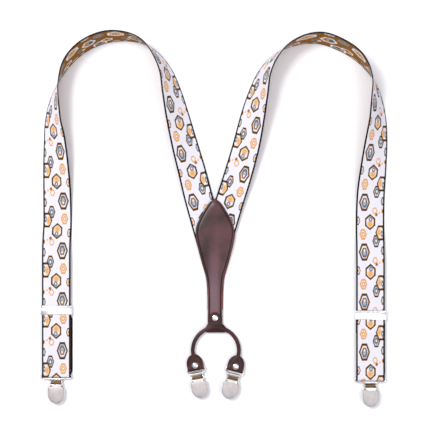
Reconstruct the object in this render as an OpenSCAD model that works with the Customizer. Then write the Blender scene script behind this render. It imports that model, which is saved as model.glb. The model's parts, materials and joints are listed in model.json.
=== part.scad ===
// Clip-on suspenders laid flat: two woven straps that meet under a leather
// back patch, a rolled leather cord with two rear clips, and two front ends
// with a buckle adjuster and a clip each.
// Frame: X to the right, Y towards the shoulders, Z up from the table, in mm.

/* [Webbing] */
// Width of the strap webbing
web_w = 35; // [30:0.5:36]
// Thickness of the strap webbing
web_t = 1.2; // [1:0.05:1.4]
// Straight run of the left strap, from its top down to the clip's ring bar
left_run = 129.4; // [110:0.1:150]
// Straight run of the right strap, from its top down to the clip's ring bar
right_run = 133.4; // [110:0.1:150]
// Left adjuster's middle, measured down from the top of the straight run
left_adjuster_drop = 49; // [45:0.5:60]
// Right adjuster's middle, measured down from the top of the straight run
right_adjuster_drop = 55; // [45:0.5:60]
// Length of webbing folded back and sewn at the adjuster's bar
hem_len = 20; // [16:1:30]

/* [Adjusters] */
// Length of an adjuster along the strap
adjuster_len = 11.7; // [10.5:0.1:14]
// Thickness of the adjuster's side walls and cover
adjuster_t = 1; // [0.8:0.1:1.2]
// Radius of the bar that holds the webbing's sewn end
end_bar_r = 0.6; // [0.5:0.05:0.7]
// Radius of the cover's hinge pin
cover_pin_r = 0.6; // [0.4:0.05:0.7]
// Radius of the cover's rolled hinge edge
cover_curl_r = 1.2; // [1.1:0.05:1.3]

/* [Clips] */
// Width of the clip's tongue and back plate
tongue_w = 19.4; // [18:0.1:22]
// Length of the tongue, from its shoulders to its tip
tongue_len = 20.9; // [19:0.1:25]
// Width of the plate under the ring
neck_w = 15.6; // [15:0.1:17]
// Thickness of the clip's sheet metal
sheet_t = 1; // [0.8:0.1:1.1]
// Thickness of the sprung jaw leaf
leaf_t = 0.7; // [0.5:0.1:0.8]
// Thickness of each grip pad
pad_t = 1.25; // [1:0.05:1.5]
// Radius of the lever's hinge pin
lever_pin_r = 0.8; // [0.6:0.05:0.85]
// Radius of the ring's bar, which the strap or tab folds round
ring_bar_r = 1.1; // [0.9:0.05:1.3]
// Radius of the ring's wire
ring_wire_r = 0.9; // [0.7:0.05:1]

/* [Leather] */
// Thickness of one layer of leather
leather_t = 1.3; // [1:0.1:1.6]
// Diameter of the rolled leather cord
cord_d = 4.8; // [4:0.1:5.8]
// Radius of the cord's arch, to the middle of the cord
arch_r = 28.3; // [26:0.1:34]
// Width of the leather tab at each end of the cord
tab_w = 20.2; // [18:0.1:24]
// Distance from the end of the arch to the tab's ring bar
tab_len = 17; // [15.5:0.5:21]
// Length of the sleeve that the cord slides through
sleeve_len = 25.8; // [20:0.2:30]
// Diameter of the rivet on the stem
stem_rivet_d = 8.2; // [7:0.1:9]
// Diameter of the rivets on the tabs
tab_rivet_d = 7.6; // [6.4:0.1:8.4]

/* [Hidden] */
$fn = 48;
sides = ["left", "right"];
clips = ["front_left", "front_right", "back_left", "back_right"];

// Clearances
fixed = 0.02;      // a pin held in its holes
running = 0.05;    // a pin in its bore
slip = 0.1;        // a cord, bar or leaf that slides or turns freely
air = 0.3;         // between parts that must not touch

// Folds of the webbing: round the clip's ring bar, and round the adjuster's bar
hem_in = end_bar_r + slip;
fold_in = max(ring_bar_r + 0.35, (web_t + 2 * hem_in + air) / 2);
fold_out = fold_in + web_t;
front_bar_z = fold_out;
run_lift = web_t + 2 * fold_in;
web_top = run_lift + web_t;

// Outer edge of each strap, from under the patch over the shoulder arch to the
// top of the straight run: x, y, tilt of the web in degrees, lift off the table.
run_top = -60;
arm_x = 210;
patch_lift = leather_t;
cross_lift = leather_t + web_t + air;
left_route = [
    [14, -22, 0, patch_lift], [0, 28, 2, patch_lift], [-9, 62, 13, 0.6],
    [-19, 95, 24, 0], [-29.5, 129, 36, 0], [-39, 158, 48, 0],
    [-52, 187, 65, 0], [-72, 210, 80, 0], [-95, 220, 95, 0],
    [-125, 220, 104, 0], [-153, 210, 104, 0], [-174.5, 192.5, 98, 0],
    [-190, 171, 82, 0], [-201, 147, 62, 0], [-206.5, 123, 48, 0],
    [-208, 99, 34, 0], [-209, 66, 19, 0], [-209, 31, 6, 0],
    [-209, -2, 0, 0], [-arm_x, -28, 0, run_lift * 0.6],
    [-arm_x, -50, 0, run_lift], [-arm_x, run_top, 0, run_lift]];
right_route = [
    [-12, -22, 0, cross_lift], [3, 28, 2, cross_lift], [14, 62, 11, 1.2],
    [24, 95, 19, 0], [33, 128, 31, 0], [42.5, 156, 45, 0],
    [56, 184, 64, 0], [76, 205, 80, 0], [100, 215.5, 95, 0],
    [128, 218, 104, 0], [155, 209, 104, 0], [177, 195.5, 98, 0],
    [194.5, 177, 82, 0], [205.5, 155, 62, 0], [211.5, 129, 48, 0],
    [213.5, 102, 34, 0], [212.5, 66, 19, 0], [210.5, 31, 6, 0],
    [arm_x, -2, 0, 0], [arm_x, -28, 0, run_lift * 0.6],
    [arm_x, -50, 0, run_lift], [arm_x, run_top, 0, run_lift]];
routes = [left_route, right_route];
hand = [-1, 1];
route_steps = 5;
run_x = [-(arm_x - web_w / 2), arm_x - web_w / 2];
bar_y = [run_top - left_run, run_top - right_run];
adjuster_y = [run_top - left_adjuster_drop, run_top - right_adjuster_drop];

// Adjuster
end_bar_y = -3.1;
end_bar_z = web_t + hem_in;
hem_out = hem_in + web_t;
wall_x = web_w / 2 + 0.25;
bed_y = end_bar_y + hem_out + air;
bed_z = run_lift - air - web_t;
cover_z = web_top + air;
cover_pin_y = adjuster_len / 2 - 1.45;
cover_pin_z = web_top + 0.2 + cover_curl_r;
cover_ear_r = 1.5;
cover_step_y = cover_pin_y - cover_ear_r - 0.5;
tooth_w = 28;
tooth_t = 0.4;
tooth_drop = 0.2;
tooth_ys = [-3.4, -2.4, -1.4];

// Patch: half width at each height, smoothed
patch_x = 2;
patch_half = [
    [0, 27.5], [5.7, 23.5], [11, 17], [18.3, 4], [22.7, -6], [23.9, -16],
    [22.6, -25], [20.4, -35], [16.5, -50], [13.6, -60], [10.9, -70],
    [9.6, -82], [9.1, -97], [9, -110]];
stem_half = 9;
stem_end_y = -125;
backing_end_y = -109;
pocket_end_y = -35;
patch_top_z = cross_lift + web_t + 0.8;
stem_t = 2.2;
stem_top_z = leather_t + stem_t;
rivet_y = -119;

// Cord, its sleeve and its end tabs
cord_r = cord_d / 2;
sleeve_in = cord_r + slip;
sleeve_t = 1;
sleeve_out = sleeve_in + sleeve_t;
cord_z = sleeve_out;
arch_c = [3, -130.7 - arch_r];
arch_end = [191, -14];
tab_tilt = [11, -14];
tab_fold_out = ring_bar_r + slip + leather_t;
tab_half_t = max(tab_fold_out, cord_r + slip);
stub_angle = 10;
tab_rivet_y = ring_bar_r + slip + 2.9;
arch_tip = [for (a = arch_end) arch_c + arch_r * [cos(a), sin(a)]];
tab_pos = [for (i = [0, 1]) arch_tip[i] + tab_len * [sin(tab_tilt[i]), -cos(tab_tilt[i])]];
sleeve_angle = 2 * asin(sleeve_len / 2 / arch_r);
leaf_half = 7;
leaf_rim_z = stem_top_z + slip + sleeve_t + 0.2;
rear_leaf_z = 0.15;
leaf_end_y = arch_c[1] + arch_r - 1.2;
flare_half = sleeve_len / 2 - 1.7;
post_r = 1.2;
foot_t = 0.7;

// Clips: place, tilt, ring sizes and heights
clip_pos = [
    [run_x[0], bar_y[0]], [run_x[1], bar_y[1]], tab_pos[0], tab_pos[1]];
clip_tilt = [0, 0, tab_tilt[0], tab_tilt[1]];
clip_bar_z = [front_bar_z, front_bar_z, cord_z, cord_z];
ring_half = [
    web_w / 2 + 0.4 + ring_wire_r, web_w / 2 + 0.4 + ring_wire_r,
    tab_w / 2 + air + ring_wire_r, tab_w / 2 + air + ring_wire_r];
ring_side = [fold_out + 0.35, fold_out + 0.35, tab_fold_out + 0.5, tab_fold_out + 0.5];
front_depth = fold_out + 0.85 + ring_wire_r;
back_depth = tab_fold_out + 3 + ring_wire_r;
ring_depth = [front_depth, front_depth, back_depth, back_depth];
ring_foot = [
    ring_half[0] - front_depth + ring_side[0], ring_half[1] - front_depth + ring_side[1],
    neck_w / 2 - 1, neck_w / 2 - 1];
lug_x = 6.3;
lug_t = 0.9;
lug_r = 1.5;
leaf_z = sheet_t + 2 * pad_t + air;
leaf_top = leaf_z + leaf_t;
tail_rod_r = 0.6;
tail_rod_z = leaf_z + 0.4;
cam_r = 1.2;
cam_tip_r = 0.5;
cam_reach = 1.9;
pin_z = leaf_top + slip + cam_reach;
cover_plate_z = pin_z + 0.1;
neck_flat = 2.8;
lever_rim_t = 0.9;
lever_rim_drop = 1.6;
pin_end = 0.4;
pad_from = 10;
pad_len = 9.5;
pad_half = 7.2;

// Distances from the ring bar towards the tip
function tail_rod_u(k) = ring_depth[k] + 3.8;
function pin_u(k) = ring_depth[k] + 7.1;
function tongue_u(k) = pin_u(k) + lug_r + air;

// Smooth curve through hand-placed points
function curve_point(a, b, c, d, t) =
    0.5 * (2 * b + (c - a) * t + (2 * a - 5 * b + 4 * c - d) * t * t
           + (3 * b - a - 3 * c + d) * t * t * t);
function smooth(p, n) =
    let (last = len(p) - 1,
         q = concat([2 * p[0] - p[1]], p, [2 * p[last] - p[last - 1]]))
    concat([for (i = [1:last]) for (k = [0:n - 1])
                curve_point(q[i - 1], q[i], q[i + 1], q[i + 2], k / n)], [p[last]]);

// Four corners of the web at one station of its route
function heading(c, i) =
    let (a = c[max(i - 1, 0)], b = c[min(i + 1, len(c) - 1)],
         d = [b[0] - a[0], b[1] - a[1]])
    d / norm(d);
function web_corners(c, i, h) =
    let (d = heading(c, i), across = [d[1], -d[0]] * h, tilt = c[i][2],
         w = [across[0] * cos(tilt), across[1] * cos(tilt), sin(tilt)],
         t = [-across[0] * sin(tilt), -across[1] * sin(tilt), cos(tilt)],
         edge = [c[i][0], c[i][1], c[i][3] + web_t / 2 * abs(cos(tilt))],
         low = edge - t * web_t / 2)
    [low, low + w * web_w, low + w * web_w + t * web_t, low + t * web_t];
function flip(f, h) = h > 0 ? f : [f[2], f[1], f[0]];

// Width of the tongue's outline follows round shoulders and an elliptical tip
function tongue_outline(half, from, to) =
    let (shoulder = 3, tip = 11)
    concat(
        [for (a = [0:15:90]) [half - shoulder + shoulder * sin(a),
                              -(from + shoulder - shoulder * cos(a))]],
        [for (a = [0:7.5:180]) [half * cos(a), -(to - tip + tip * sin(a))]],
        [for (a = [90:-15:0]) [-(half - shoulder + shoulder * sin(a)),
                               -(from + shoulder - shoulder * cos(a))]]);

// Drawings in the YZ plane made solid across X, at y or towards the clip's tip
module across_x(w) { rotate([90, 0, 90]) linear_extrude(w, center = true) children(); }
module to_tip(w) { rotate([90, 0, -90]) linear_extrude(w, center = true) children(); }
module rod_x(r, l) { rotate([0, 90, 0]) cylinder(r = r, h = l, center = true); }

// Line of the ring's wire, grown outwards or inwards by its radius, up to y = top
module ring_outline(k, grow, top) {
    side = ring_half[k] + grow;
    foot = ring_foot[k] + grow * 0.6;
    polygon([
        [-side, top], [side, top], [side, -ring_side[k]], [foot, -ring_depth[k] - grow],
        [-foot, -ring_depth[k] - grow], [-side, -ring_side[k]]]);
}

module strap(i) {
    c = smooth(routes[i], route_steps);
    n = len(c);
    points = [for (k = [0:n - 1]) each web_corners(c, k, hand[i])];
    faces = concat(
        [flip([0, 1, 2], hand[i]), flip([0, 2, 3], hand[i])],
        [for (k = [0:n - 2]) for (j = [0:3]) each
            let (a = 4 * k + j, b = 4 * k + (j + 1) % 4)
            [flip([a, a + 4, b], hand[i]), flip([b, a + 4, b + 4], hand[i])]],
        [flip([4 * n - 4, 4 * n - 2, 4 * n - 3], hand[i]),
         flip([4 * n - 4, 4 * n - 1, 4 * n - 2], hand[i])]);
    color([0.93, 0.92, 0.93]) polyhedron(points = points, faces = faces);
}

// Front layer, fold round the ring bar, tail behind, and hem round the end bar
module strap_loop(i) {
    bar = bar_y[i];
    hem = adjuster_y[i] + end_bar_y;
    color([0.9, 0.89, 0.9]) translate([run_x[i], 0, 0]) across_x(web_w) {
        translate([bar, run_lift]) square([run_top - slip - bar, web_t]);
        difference() {
            translate([bar, front_bar_z]) circle(fold_out);
            translate([bar, front_bar_z]) circle(fold_in);
            translate([bar, 0]) square([2 * fold_out, 2 * fold_out]);
        }
        translate([bar, 0]) square([hem - bar, web_t]);
        difference() {
            translate([hem, end_bar_z]) circle(hem_out);
            translate([hem, end_bar_z]) circle(hem_in);
            translate([hem - 2 * hem_out, 0]) square([2 * hem_out, 2 * hem_out]);
        }
        polygon([
            [hem, end_bar_z + hem_out], [hem - 5, end_bar_z + hem_out],
            [hem - 9, 2 * web_t], [hem - hem_len, 2 * web_t], [hem - hem_len, web_t],
            [hem - 8.5, web_t], [hem - 4.5, end_bar_z + hem_in], [hem, end_bar_z + hem_in]]);
    }
}

module at_adjuster(i) { translate([run_x[i], adjuster_y[i], 0]) children(); }

module adjuster_frame(i) {
    color([0.85, 0.85, 0.86]) at_adjuster(i) {
        for (s = [-1, 1]) translate([s * (wall_x + adjuster_t / 2), 0, 0])
            across_x(adjuster_t) difference() {
                union() {
                    translate([-adjuster_len / 2, 0.2]) square([adjuster_len, web_top - 0.2]);
                    translate([cover_pin_y, cover_pin_z]) circle(cover_ear_r);
                    translate([cover_pin_y - cover_ear_r, web_top - 1])
                        square([2 * cover_ear_r, cover_pin_z - web_top + 1]);
                }
                translate([cover_pin_y, cover_pin_z]) circle(cover_pin_r + fixed);
            }
        translate([0, end_bar_y, end_bar_z]) rod_x(end_bar_r, 2 * wall_x + 1);
        translate([-wall_x - 0.5, bed_y, bed_z])
            cube([2 * wall_x + 1, adjuster_len / 2 - bed_y - 0.4, web_t]);
    }
}

module adjuster_cover(i) {
    half = wall_x + adjuster_t;
    color([0.93, 0.93, 0.94]) at_adjuster(i) difference() {
        union() {
            translate([-half, -adjuster_len / 2, cover_z])
                cube([2 * half, adjuster_len / 2 + cover_step_y, adjuster_t]);
            translate([-wall_x + air, cover_step_y - 1, cover_z])
                cube([2 * (wall_x - air), cover_pin_y - cover_step_y + 1, adjuster_t]);
            translate([0, cover_pin_y, cover_pin_z]) rod_x(cover_curl_r, 2 * (wall_x - air));
            for (y = tooth_ys) translate([-tooth_w / 2, y - tooth_t / 2, cover_z - tooth_drop])
                cube([tooth_w, tooth_t, tooth_drop + adjuster_t / 2]);
        }
        translate([0, cover_pin_y, cover_pin_z]) rod_x(cover_pin_r + running, 2 * wall_x + 1);
    }
}

module adjuster_pin(i) {
    color([0.75, 0.75, 0.77]) at_adjuster(i)
        translate([0, cover_pin_y, cover_pin_z]) rod_x(cover_pin_r, 2 * (wall_x + adjuster_t) + 0.4);
}

module patch_outline() {
    half = smooth(patch_half, 4);
    polygon(concat(
        [for (p = half) [patch_x + p[0], p[1]]],
        [[patch_x + stem_half, stem_end_y], [patch_x - stem_half, stem_end_y]],
        [for (k = [len(half) - 1:-1:1]) [patch_x - half[k][0], half[k][1]]]));
}

module patch_front() {
    color([0.29, 0.18, 0.18]) difference() {
        union() {
            translate([0, 0, patch_top_z]) linear_extrude(leather_t) intersection() {
                patch_outline();
                translate([-100, -70]) square([200, 200]);
            }
            translate([0, 0, leather_t]) linear_extrude(patch_top_z - leather_t) intersection() {
                patch_outline();
                translate([-100, -70]) square([200, 70 + pocket_end_y]);
            }
            translate([0, 0, leather_t]) linear_extrude(stem_t) intersection() {
                patch_outline();
                translate([-100, -200]) square([200, 131]);
            }
        }
        translate([patch_x, rivet_y, 0]) cylinder(r = post_r + slip, h = 20);
    }
}

module patch_back() {
    color([0.36, 0.2, 0.17]) linear_extrude(leather_t) intersection() {
        patch_outline();
        translate([-100, backing_end_y]) square([200, 200]);
    }
}

// Leather strip: rear leaf, sleeve round the cord, front leaf
module loop_tab() {
    color([0.27, 0.15, 0.15]) difference() {
        union() {
            arch(sleeve_out, 90 - sleeve_angle / 2, 90 + sleeve_angle / 2);
            intersection() {
                translate([patch_x, 0, 0]) across_x(40) {
                    polygon([
                        [rivet_y + leaf_half, rear_leaf_z], [rivet_y + leaf_half, rear_leaf_z + sleeve_t],
                        [stem_end_y - air, rear_leaf_z + sleeve_t], [stem_end_y - air, stem_top_z + slip],
                        [rivet_y + leaf_half, stem_top_z + slip], [rivet_y + leaf_half, leaf_rim_z],
                        [rivet_y - 4, leaf_rim_z], [leaf_end_y, cord_z + sleeve_out - 0.4],
                        [leaf_end_y, rear_leaf_z]]);
                }
                linear_extrude(20) polygon(concat(
                    [for (a = [0:15:180]) [patch_x + leaf_half * cos(a), rivet_y + leaf_half * sin(a)]],
                    [[arch_c[0] - flare_half, leaf_end_y + 3], [arch_c[0] - flare_half, leaf_end_y - 1],
                     [arch_c[0] + flare_half, leaf_end_y - 1], [arch_c[0] + flare_half, leaf_end_y + 3]]));
            }
        }
        arch(sleeve_in, 85 - sleeve_angle / 2, 95 + sleeve_angle / 2);
        translate([patch_x, rivet_y, -1]) cylinder(r = post_r + slip, h = 20);
        translate([patch_x, rivet_y, -1]) cylinder(r = stem_rivet_d / 2 - 0.5, h = 1 + foot_t);
    }
}

// Domed cap, post and foot of a rivet, set with the cap's rim at z = top
module rivet(d, top, foot_z, foot_t) {
    dome = 1.2;
    ball = (d * d / 4 + dome * dome) / (2 * dome);
    color([0.86, 0.84, 0.82]) {
        intersection() {
            translate([0, 0, top + dome - ball]) sphere(r = ball, $fn = 96);
            translate([0, 0, top]) cylinder(r = d, h = 2 * dome);
        }
        translate([0, 0, foot_z]) cylinder(r = post_r, h = top - foot_z + 0.3);
        translate([0, 0, foot_z]) cylinder(r = d / 2 - 0.6, h = foot_t);
    }
}

module loop_rivet() {
    translate([patch_x, rivet_y, 0])
        rivet(stem_rivet_d, leaf_rim_z, 0, foot_t);
}

// The cord's arch runs on into both tabs
module arch(r, from, to) {
    translate([arch_c[0], arch_c[1], cord_z]) rotate([0, 0, from])
        rotate_extrude(angle = to - from) translate([arch_r, 0]) circle(r);
}

module cord() {
    color([0.3, 0.17, 0.17]) arch(cord_r, arch_end[1] - stub_angle, arch_end[0] + stub_angle);
}

module at_tab(i) { translate([tab_pos[i][0], tab_pos[i][1], 0]) rotate([0, 0, tab_tilt[i]]) children(); }

module cord_tab(i) {
    w = tab_w / 2;
    half = smooth([[w, 0], [w, 0.36 * tab_len], [0.9 * w, 0.64 * tab_len],
                   [0.61 * w, 0.89 * tab_len], [0.32 * w, tab_len]], 4);
    color([0.27, 0.15, 0.15]) difference() {
        at_tab(i) union() {
            translate([0, 0, cord_z - tab_half_t]) linear_extrude(2 * tab_half_t)
                polygon(concat(half, [for (k = [len(half) - 1:-1:0]) [-half[k][0], half[k][1]]]));
            translate([0, 0, cord_z]) rod_x(tab_fold_out, tab_w);
        }
        at_tab(i) translate([0, 0, cord_z]) rod_x(ring_bar_r + slip, tab_w + 2);
        arch(cord_r + running, i == 0 ? arch_end[0] - 4 : arch_end[1] - stub_angle - 0.5,
             i == 0 ? arch_end[0] + stub_angle + 0.5 : arch_end[1] + 4);
        at_tab(i) translate([0, tab_rivet_y, -1]) cylinder(r = post_r + slip, h = 20);
    }
}

module cord_rivet(i) {
    at_tab(i) translate([0, tab_rivet_y, 0])
        rivet(tab_rivet_d, cord_z + tab_half_t, cord_z - tab_half_t - 0.8, 0.8);
}

module at_clip(k) {
    translate([clip_pos[k][0], clip_pos[k][1], 0]) rotate([0, 0, clip_tilt[k]]) children();
}

// Back plate, neck, lugs and the wire ring in one stamping
module clip_frame(k) {
    z = clip_bar_z[k];
    d = ring_depth[k];
    color([0.88, 0.87, 0.87]) at_clip(k) {
        translate([0, 0, z]) rod_x(ring_bar_r, 2 * ring_half[k] + 0.4);
        translate([0, 0, z - ring_wire_r]) linear_extrude(2 * ring_wire_r) difference() {
            ring_outline(k, ring_wire_r, ring_wire_r);
            ring_outline(k, -ring_wire_r, 2 * ring_wire_r);
        }
        difference() {
            union() {
                to_tip(neck_w) polygon([
                    [d, z + sheet_t / 2], [d + neck_flat, z + sheet_t / 2],
                    [d + neck_flat + 1.2, sheet_t], [tongue_u(k) + 1, sheet_t],
                    [tongue_u(k) + 1, 0], [d + neck_flat + 0.4, 0],
                    [d + neck_flat - 0.8, z - sheet_t / 2], [d, z - sheet_t / 2]]);
                linear_extrude(sheet_t)
                    polygon(tongue_outline(tongue_w / 2, tongue_u(k), tongue_u(k) + tongue_len));
                for (s = [-1, 1]) translate([s * (lug_x + lug_t / 2), 0, 0]) to_tip(lug_t) {
                    translate([pin_u(k), pin_z]) circle(lug_r);
                    translate([pin_u(k) - lug_r, 0.5]) square([2 * lug_r, pin_z - 0.5]);
                    translate([tail_rod_u(k), tail_rod_z]) circle(lug_r - 0.2);
                    translate([tail_rod_u(k), 0.5])
                        square([pin_u(k) - tail_rod_u(k), tail_rod_z + lug_r - 0.7]);
                }
            }
            translate([0, -pin_u(k), pin_z]) rod_x(lever_pin_r + fixed, 30);
            translate([0, -tail_rod_u(k), tail_rod_z]) rod_x(tail_rod_r + running, 30);
        }
    }
}

module clip_pin(k) {
    color([0.8, 0.8, 0.8]) at_clip(k)
        translate([0, -pin_u(k), pin_z]) rod_x(lever_pin_r, 2 * (lug_x + lug_t + pin_end));
}

// Tongue-shaped cover with a turned-down rim and a cam that presses the leaf
module clip_lever(k) {
    from = tongue_u(k);
    to = from + tongue_len;
    color([0.8, 0.78, 0.78]) at_clip(k) difference() {
        union() {
            translate([0, 0, cover_plate_z]) linear_extrude(sheet_t)
                polygon(tongue_outline(tongue_w / 2, from, to));
            translate([0, 0, cover_plate_z - lever_rim_drop]) linear_extrude(lever_rim_drop + 0.1) difference() {
                polygon(tongue_outline(tongue_w / 2, from, to));
                polygon(tongue_outline(tongue_w / 2 - lever_rim_t, from + lever_rim_t, to - lever_rim_t));
            }
            translate([-lug_x + 0.4, -from - 1, cover_plate_z])
                cube([2 * lug_x - 0.8, from + 1 - pin_u(k), sheet_t]);
            to_tip(2 * lug_x - 0.8) translate([pin_u(k), pin_z]) {
                circle(cam_r);
                translate([0, cam_tip_r - cam_reach]) circle(cam_tip_r);
                polygon([[-0.9, -0.8], [0.9, -0.8], [0.45, cam_tip_r - cam_reach - 0.2],
                         [-0.45, cam_tip_r - cam_reach - 0.2]]);
            }
        }
        translate([0, -pin_u(k), pin_z]) rod_x(lever_pin_r + running, 30);
    }
}

// Sprung leaf that carries the upper pad, with its tail rod in the lugs
module clip_jaw(k) {
    half = lug_x - 0.4;
    color([0.62, 0.45, 0.27]) at_clip(k) {
        translate([0, -tail_rod_u(k), tail_rod_z]) rod_x(tail_rod_r, 2 * (lug_x + lug_t) - 0.2);
        translate([-half, -(pin_u(k) + pad_from + 1), leaf_z])
            cube([2 * half, pin_u(k) + pad_from + 1 - tail_rod_u(k), leaf_t]);
        translate([-pad_half, -(pin_u(k) + pad_from + pad_len), leaf_z])
            cube([2 * pad_half, pad_len, leaf_t]);
    }
}

module clip_pad(k, z) {
    color([0.12, 0.12, 0.13]) at_clip(k)
        translate([-pad_half, -(pin_u(k) + pad_from + pad_len), z]) cube([2 * pad_half, pad_len, pad_t]);
}

module jaw_pad(k) { clip_pad(k, leaf_z - pad_t); }
module back_pad(k) { clip_pad(k, sheet_t); }

patch_front();
patch_back();
loop_tab();
loop_rivet();
cord();
for (i = [0, 1]) {
    strap(i);
    strap_loop(i);
    adjuster_frame(i);
    adjuster_cover(i);
    adjuster_pin(i);
    cord_tab(i);
    cord_rivet(i);
}
for (k = [0:3]) {
    clip_frame(k);
    clip_lever(k);
    clip_jaw(k);
    jaw_pad(k);
    back_pad(k);
    clip_pin(k);
}
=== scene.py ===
"""Clip-on suspenders laid flat.

Two jacquard straps, a leather back patch and cord, two buckles and four clips.
"""
import json
import math

import bmesh
import bpy
from mathutils import Matrix, Vector


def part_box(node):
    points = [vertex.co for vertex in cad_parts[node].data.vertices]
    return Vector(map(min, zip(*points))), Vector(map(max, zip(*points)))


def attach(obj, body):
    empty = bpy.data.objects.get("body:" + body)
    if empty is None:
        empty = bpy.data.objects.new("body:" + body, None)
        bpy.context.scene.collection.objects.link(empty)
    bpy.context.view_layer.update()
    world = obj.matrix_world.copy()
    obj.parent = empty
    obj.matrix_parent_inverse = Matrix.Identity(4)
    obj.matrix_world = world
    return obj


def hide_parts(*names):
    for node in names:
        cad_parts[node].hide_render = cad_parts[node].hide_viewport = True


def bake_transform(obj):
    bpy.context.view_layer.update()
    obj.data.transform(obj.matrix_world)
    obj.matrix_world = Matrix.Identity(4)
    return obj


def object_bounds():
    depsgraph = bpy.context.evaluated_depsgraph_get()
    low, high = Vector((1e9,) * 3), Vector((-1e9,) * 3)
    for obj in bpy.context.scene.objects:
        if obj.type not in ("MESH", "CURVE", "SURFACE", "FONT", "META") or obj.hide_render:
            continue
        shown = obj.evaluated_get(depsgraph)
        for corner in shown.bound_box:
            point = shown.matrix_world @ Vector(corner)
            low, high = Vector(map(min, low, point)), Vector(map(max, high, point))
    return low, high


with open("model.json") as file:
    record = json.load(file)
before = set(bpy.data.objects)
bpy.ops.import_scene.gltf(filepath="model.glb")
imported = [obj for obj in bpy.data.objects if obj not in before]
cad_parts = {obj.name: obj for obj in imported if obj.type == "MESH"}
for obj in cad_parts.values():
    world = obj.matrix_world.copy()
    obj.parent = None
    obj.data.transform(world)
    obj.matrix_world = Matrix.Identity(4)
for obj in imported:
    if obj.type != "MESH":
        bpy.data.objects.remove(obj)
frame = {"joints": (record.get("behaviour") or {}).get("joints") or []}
cad_low, cad_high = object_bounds()
joints = {joint["name"]: joint for joint in frame["joints"]}


def pivot(joint_name):
    return Vector(joints[joint_name]["pos_m"])


# ---------------------------------------------------------------- sizes, in metres

sides = ["left", "right"]
hands = [-1, 1]
web_low, web_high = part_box("left_strap_loop")
web_w = web_high.x - web_low.x
web_t = 0.0012
fold_in = 0.00145
fold_r = fold_in + web_t / 2
run_lift = web_t + 2 * fold_in
run_top = -0.060
arm_x = 0.210
selvedge_w = 0.0019
repeat = 0.0612

# Outer edge of each strap: x, y, tilt of the web in degrees, lift off the table
left_route = [
    (0.014, -0.022, 0, 0.0013), (0, 0.028, 2, 0.0013), (-0.009, 0.062, 13, 0.0006),
    (-0.019, 0.095, 24, 0), (-0.0295, 0.129, 36, 0), (-0.039, 0.158, 48, 0),
    (-0.052, 0.187, 65, 0), (-0.072, 0.210, 80, 0), (-0.095, 0.220, 95, 0),
    (-0.125, 0.220, 104, 0), (-0.153, 0.210, 104, 0), (-0.1745, 0.1925, 98, 0),
    (-0.190, 0.171, 82, 0), (-0.201, 0.147, 62, 0), (-0.2065, 0.123, 48, 0),
    (-0.208, 0.099, 34, 0), (-0.209, 0.066, 19, 0), (-0.209, 0.031, 6, 0),
    (-0.209, -0.002, 0, 0), (-arm_x, -0.028, 0, run_lift * 0.6),
    (-arm_x, -0.050, 0, run_lift), (-arm_x, run_top, 0, run_lift)]
right_route = [
    (-0.012, -0.022, 0, 0.0028), (0.003, 0.028, 2, 0.0028), (0.014, 0.062, 11, 0.0012),
    (0.024, 0.095, 19, 0), (0.033, 0.128, 31, 0), (0.0425, 0.156, 45, 0),
    (0.056, 0.184, 64, 0), (0.076, 0.205, 80, 0), (0.100, 0.2155, 95, 0),
    (0.128, 0.218, 104, 0), (0.155, 0.209, 104, 0), (0.177, 0.1955, 98, 0),
    (0.1945, 0.177, 82, 0), (0.2055, 0.155, 62, 0), (0.2115, 0.129, 48, 0),
    (0.2135, 0.102, 34, 0), (0.2125, 0.066, 19, 0), (0.2105, 0.031, 6, 0),
    (arm_x, -0.002, 0, 0), (arm_x, -0.028, 0, run_lift * 0.6),
    (arm_x, -0.050, 0, run_lift), (arm_x, run_top, 0, run_lift)]
routes = [left_route, right_route]
# Distance from the top of the straight run to a large blue hexagon's middle
first_motif = [0.0988, 0.1009]
# How far the figures have crept along the elastic web behind the shoulder arch
figure_creep = [0.0051, -0.0182]
# Sideways shift of the tail behind the front layer
tail_shift = [0.0019, 0.0010]

patch_x = 0.002
patch_half = [
    (0, 0.0275), (0.0057, 0.0235), (0.011, 0.017), (0.0183, 0.004), (0.0227, -0.006),
    (0.0239, -0.016), (0.0226, -0.025), (0.0204, -0.035), (0.0165, -0.050),
    (0.0136, -0.060), (0.0109, -0.070), (0.0096, -0.082), (0.0091, -0.097), (0.009, -0.110),
    (0.009, -0.125)]
leather_t = 0.0013
patch_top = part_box("patch_front")[1].z
stem_top = 0.0035
seam_inset = 0.0024
rivet_at = Vector((patch_x, -0.119, 0))
stem_rivet_r = 0.0041
tab_rivet_r = 0.0038

arch_at = pivot("cord_slide")
arch_r = 0.0283
arch_z = 0.0035
cord_r = 0.0024
arch_from = math.radians(-14)
arch_to = math.radians(191)
sleeve_half = 0.0129
tab_w = 0.0202
tab_len = 0.017

end_bar_r = 0.0006
end_bar_y = -0.0031
lid_hinge_y = 0.0044
hem_in = end_bar_r + 0.0001
hem_len = 0.020
tail_rows = 48
cover_half = 0.01875
buckle_half_len = 0.00585
wall_x = 0.01775

tongue_low, tongue_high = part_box("front_left_clip_lever")
tongue_half = (tongue_high.x - tongue_low.x) / 2
tongue_len = 0.0209
neck_half = 0.0078
lug_x = 0.0063
lug_t = 0.0009
bar_r = 0.0011
wire_r = 0.0009
rings = {"front": dict(half=0.0188, side=0.0030, foot=0.0174, depth=0.0044),
         "back": dict(half=0.0113, side=0.0030, foot=0.0068, depth=0.0064)}
clip_names = ["front_left", "front_right", "back_left", "back_right"]


# ---------------------------------------------------------------- camera, floor, lights

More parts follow.
